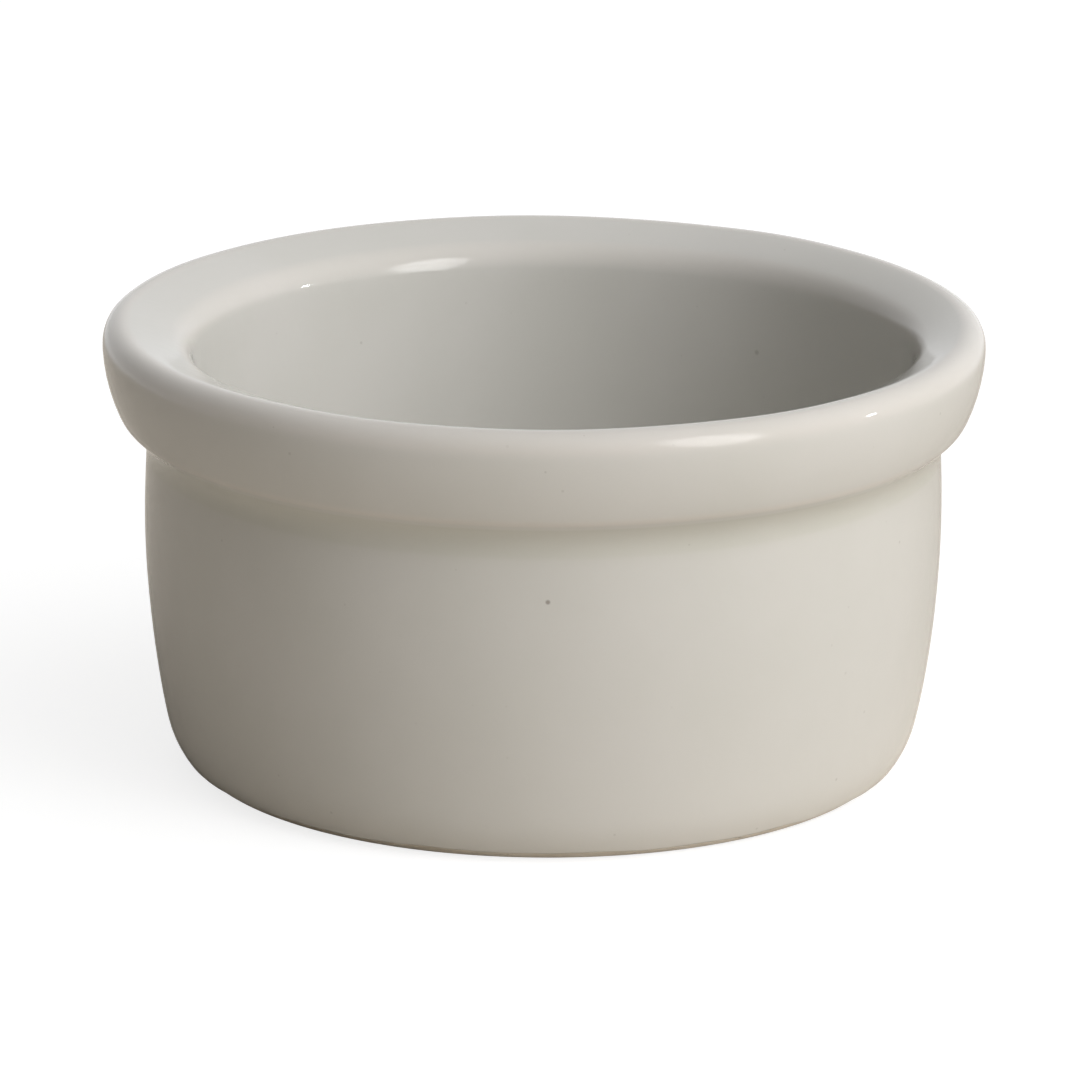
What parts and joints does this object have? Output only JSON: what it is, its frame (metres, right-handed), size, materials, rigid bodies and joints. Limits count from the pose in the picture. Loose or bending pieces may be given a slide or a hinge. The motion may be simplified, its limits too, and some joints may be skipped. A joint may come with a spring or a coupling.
{
  "type": "ramekin",
  "caption": "Round, straight-sided glazed baking pot with a flared collar under its rounded rim and an unglazed foot ring.",
  "frame": {"origin": "centre of the foot ring, on the plane that the pot stands on", "axes": "+Z is the pot's axis, up through the mouth; the pot is round, so X and Y are any two directions across it, with -Y towards the picture's camera"},
  "size_m": [0.086, 0.086, 0.0442],
  "materials": {
    "fired_clay": "bare fired clay, matt and slightly gritty, seen only on the foot ring",
    "glaze": "glossy off-white glaze with soft waves, a few pinholes and pale grey specks"
  },
  "bodies": {
    "root": {"china_body": "fired_clay", "glaze_coat": "glaze", "underside_glaze": "glaze"}
  },
  "joints": []
}
